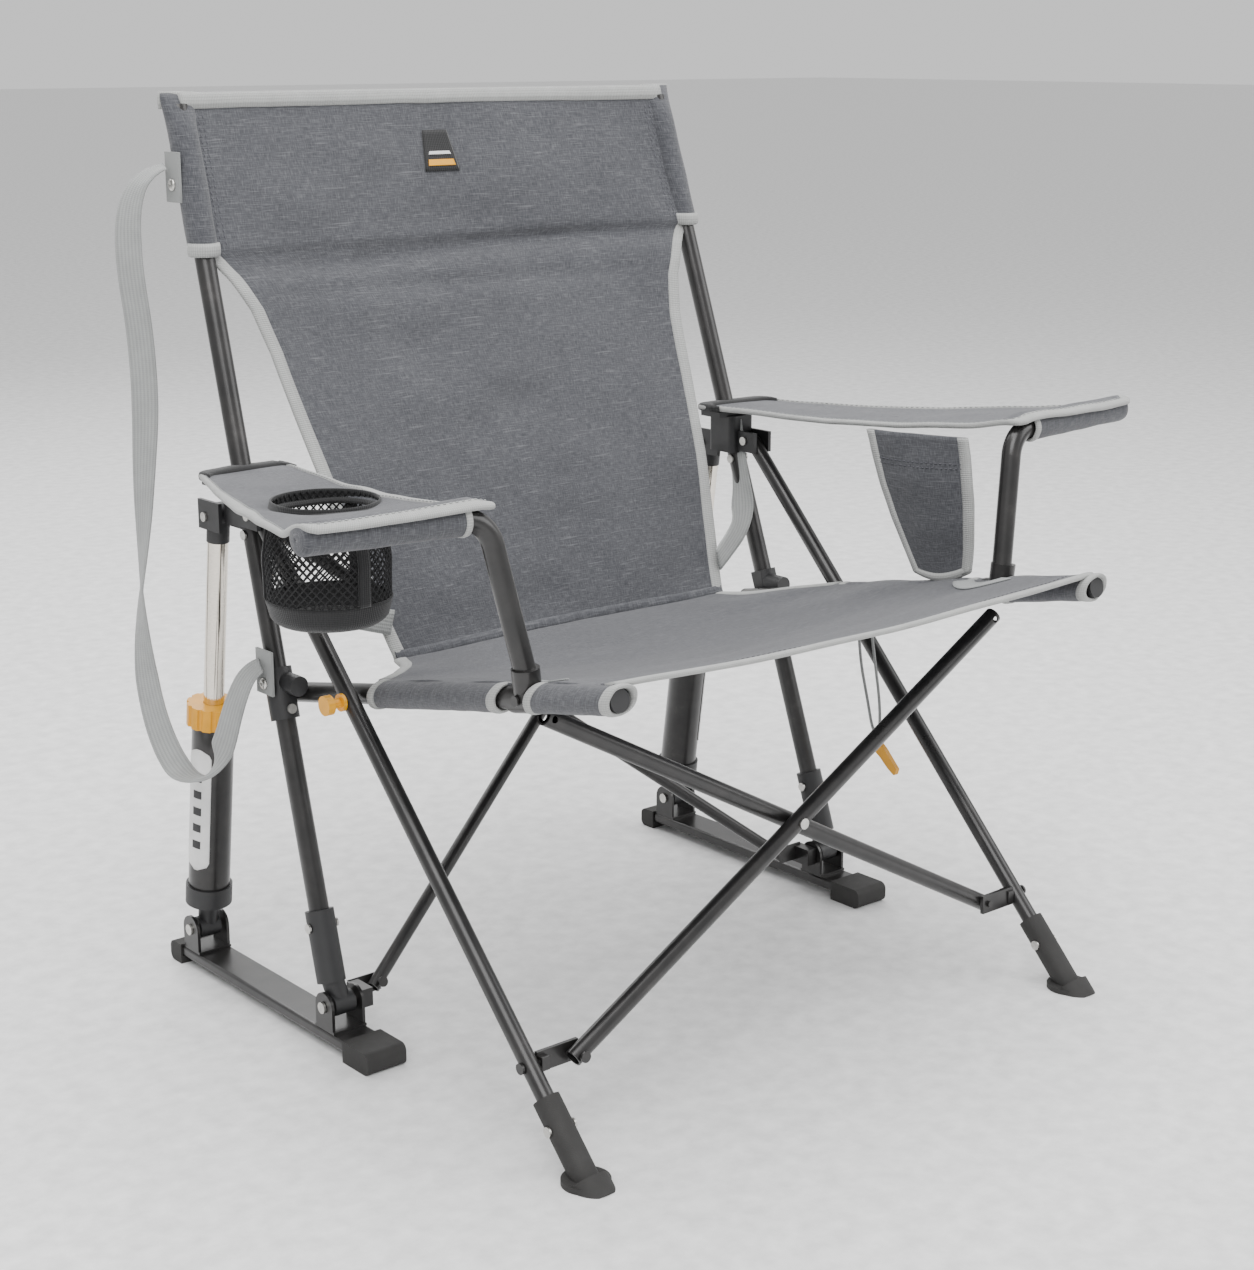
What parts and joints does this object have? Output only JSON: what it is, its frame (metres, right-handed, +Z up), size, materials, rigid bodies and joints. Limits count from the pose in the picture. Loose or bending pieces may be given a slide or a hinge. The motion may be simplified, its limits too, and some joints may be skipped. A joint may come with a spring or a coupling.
{
  "type": "folding camp rocking chair",
  "caption": "Folding camp chair that rocks on two base rails with telescopic struts, with a sling seat and back, fabric armrests, a mesh cup holder and a carry strap",
  "frame": {"origin": "on the floor, at the centre of the bounding box", "axes": "+Z up, -Y the way the sitter faces, +X to the right seen from the front"},
  "size_m": [0.972, 0.6643, 0.855],
  "materials": {
    "frame_paint": "glossy charcoal powder coat",
    "black_moulding": "satin",
    "black_rubber": "matt",
    "zinc_fixings": "zinc plated",
    "polished_rod": "polished",
    "yellow_plastic": "satin",
    "woven_fabric": "heather weave",
    "black_mesh": "open mesh",
    "grey_webbing": "ribbed webbing"
  },
  "bodies": {
    "side_l": {"front_leg_l": "frame_paint", "front_foot_l": "black_rubber", "back_upright_l": "frame_paint", "arm_bracket_l": "black_moulding", "seat_hub_l": "black_moulding", "upright_socket_l": "black_moulding", "rear_link_l": "frame_paint", "side_screws_l": "zinc_fixings", "back_fabric": "woven_fabric", "carry_strap": "grey_webbing", "strap_tabs": "grey_webbing", "closure_knob": "yellow_plastic"},
    "seat_l": {"seat_rail_l": "frame_paint", "seat_rail_plugs_l": "black_moulding", "arm_support_l": "frame_paint", "armrest_l": "woven_fabric", "seat_fabric": "woven_fabric", "cup_holder": "black_mesh"},
    "link_l": {"front_link_l": "frame_paint"},
    "rail_l": {"base_rail_l": "frame_paint", "rail_pads_l": "black_rubber", "rail_clevises_l": "frame_paint", "rail_pins_l": "zinc_fixings"},
    "strut_l": {"cylinder_l": "frame_paint", "cylinder_base_l": "black_moulding", "gland_cap_l": "yellow_plastic"},
    "rod_l": {"piston_rod_l": "polished_rod", "rod_eye_l": "black_moulding"},
    "side_r": {"front_leg_r": "frame_paint", "front_foot_r": "black_rubber", "back_upright_r": "frame_paint", "arm_bracket_r": "black_moulding", "seat_hub_r": "black_moulding", "upright_socket_r": "black_moulding", "rear_link_r": "frame_paint", "side_screws_r": "zinc_fixings"},
    "seat_r": {"seat_rail_r": "frame_paint", "seat_rail_plugs_r": "black_moulding", "arm_support_r": "frame_paint", "armrest_r": "woven_fabric", "accessory_pocket": "woven_fabric", "closure_loop": "grey_webbing", "closure_hook": "yellow_plastic"},
    "link_r": {"front_link_r": "frame_paint"},
    "rail_r": {"base_rail_r": "frame_paint", "rail_pads_r": "black_rubber", "rail_clevises_r": "frame_paint", "rail_pins_r": "zinc_fixings"},
    "strut_r": {"cylinder_r": "frame_paint", "cylinder_base_r": "black_moulding", "gland_cap_r": "yellow_plastic"},
    "rod_r": {"piston_rod_r": "polished_rod", "rod_eye_r": "black_moulding"},
    "front_b": {"front_cross_b": "frame_paint", "front_cross_rivet": "zinc_fixings"},
    "front_a": {"front_cross_a": "frame_paint"},
    "rear_b": {"rear_cross_b": "frame_paint", "rear_cross_rivet": "zinc_fixings"},
    "rear_a": {"rear_cross_a": "frame_paint"}
  },
  "joints": [
    {"name": "front_link_tilt_l", "type": "hinge", "parent": "side_l", "child": "link_l", "pos_m": [-0.3, -0.232, 0.078], "axis": [1, 0, 0], "range_deg": [-10.51, 0]},
    {"name": "fold", "type": "hinge", "parent": "link_l", "child": "front_b", "pos_m": [-0.262, -0.232, 0.078], "axis": [0, -0.9981, 0.0624], "range_deg": [0, 30], "deforming": ["seat_fabric", "back_fabric"]},
    {"name": "front_scissor", "type": "hinge", "parent": "front_b", "child": "front_a", "pos_m": [0, -0.223, 0.222], "axis": [0, -0.9981, 0.0624], "range_deg": [-60.05, 0]},
    {"name": "front_lower_r", "type": "hinge", "parent": "front_a", "child": "link_r", "pos_m": [0.262, -0.232, 0.078], "axis": [0, -0.9981, 0.0624], "range_deg": [0, 30.05]},
    {"name": "front_link_tilt_r", "type": "hinge", "parent": "link_r", "child": "side_r", "pos_m": [0.3, -0.232, 0.078], "axis": [1, 0, 0], "range_deg": [0, 10.51]},
    {"name": "rear_lower_l", "type": "hinge", "parent": "side_l", "child": "rear_b", "pos_m": [-0.268, 0.062, 0.044], "axis": [0, -0.9383, 0.3457], "range_deg": [0, 22.44]},
    {"name": "rear_scissor", "type": "hinge", "parent": "rear_b", "child": "rear_a", "pos_m": [0, 0.139, 0.253], "axis": [0, -0.9383, 0.3457], "range_deg": [-44.82, 0]},
    {"name": "seat_swing_l", "type": "hinge", "parent": "side_l", "child": "seat_l", "pos_m": [-0.288, 0.136, 0.31662], "axis": [1, 0, 0], "range_deg": [-40.09, 0], "deforming": ["armrest_l", "cup_holder"]},
    {"name": "seat_swing_r", "type": "hinge", "parent": "side_r", "child": "seat_r", "pos_m": [0.288, 0.136, 0.31662], "axis": [1, 0, 0], "range_deg": [-40.09, 0], "deforming": ["armrest_r", "accessory_pocket"]},
    {"name": "rock", "type": "hinge", "parent": "side_l", "child": "rail_l", "pos_m": [-0.314, 0.047, 0.042], "axis": [1, 0, 0], "range_deg": [0, 12], "stiffness_Nm_per_rad": 40, "springref_deg": -2.86},
    {"name": "strut_pivot_l", "type": "hinge", "parent": "rail_l", "child": "strut_l", "pos_m": [-0.314, 0.293, 0.042], "axis": [1, 0, 0], "range_deg": [-11.62, 0]},
    {"name": "strut_slide_l", "type": "slide", "parent": "strut_l", "child": "rod_l", "axis": [0, -0.1379, 0.9904], "range_m": [-0.05156, 0]},
    {"name": "rock_r", "type": "hinge", "parent": "side_r", "child": "rail_r", "pos_m": [0.314, 0.047, 0.042], "axis": [1, 0, 0], "range_deg": [0, 12.05]},
    {"name": "strut_pivot_r", "type": "hinge", "parent": "rail_r", "child": "strut_r", "pos_m": [0.314, 0.293, 0.042], "axis": [1, 0, 0], "range_deg": [-11.62, 0]},
    {"name": "strut_slide_r", "type": "slide", "parent": "strut_r", "child": "rod_r", "axis": [0, -0.1379, 0.9904], "range_m": [-0.05156, 0]}
  ],
  "couplings": [
    {"joint": "front_link_tilt_l", "follows": "fold", "ratio": -0.34876},
    {"joint": "front_scissor", "follows": "fold", "ratio": -2},
    {"joint": "front_lower_r", "follows": "fold", "ratio": 1},
    {"joint": "front_link_tilt_r", "follows": "fold", "ratio": 0.34876},
    {"joint": "rear_lower_l", "follows": "fold", "ratio": 0.74623},
    {"joint": "rear_scissor", "follows": "fold", "ratio": -1.4925},
    {"joint": "seat_swing_l", "follows": "fold", "ratio": -1.3346},
    {"joint": "seat_swing_r", "follows": "fold", "ratio": -1.3346},
    {"joint": "strut_pivot_l", "follows": "rock", "ratio": -0.96384},
    {"joint": "strut_slide_l", "follows": "rock", "m_per_rad": -0.24521},
    {"joint": "rock_r", "follows": "rock", "ratio": 1},
    {"joint": "strut_pivot_r", "follows": "rock", "ratio": -0.96384},
    {"joint": "strut_slide_r", "follows": "rock", "m_per_rad": -0.24521}
  ]
}
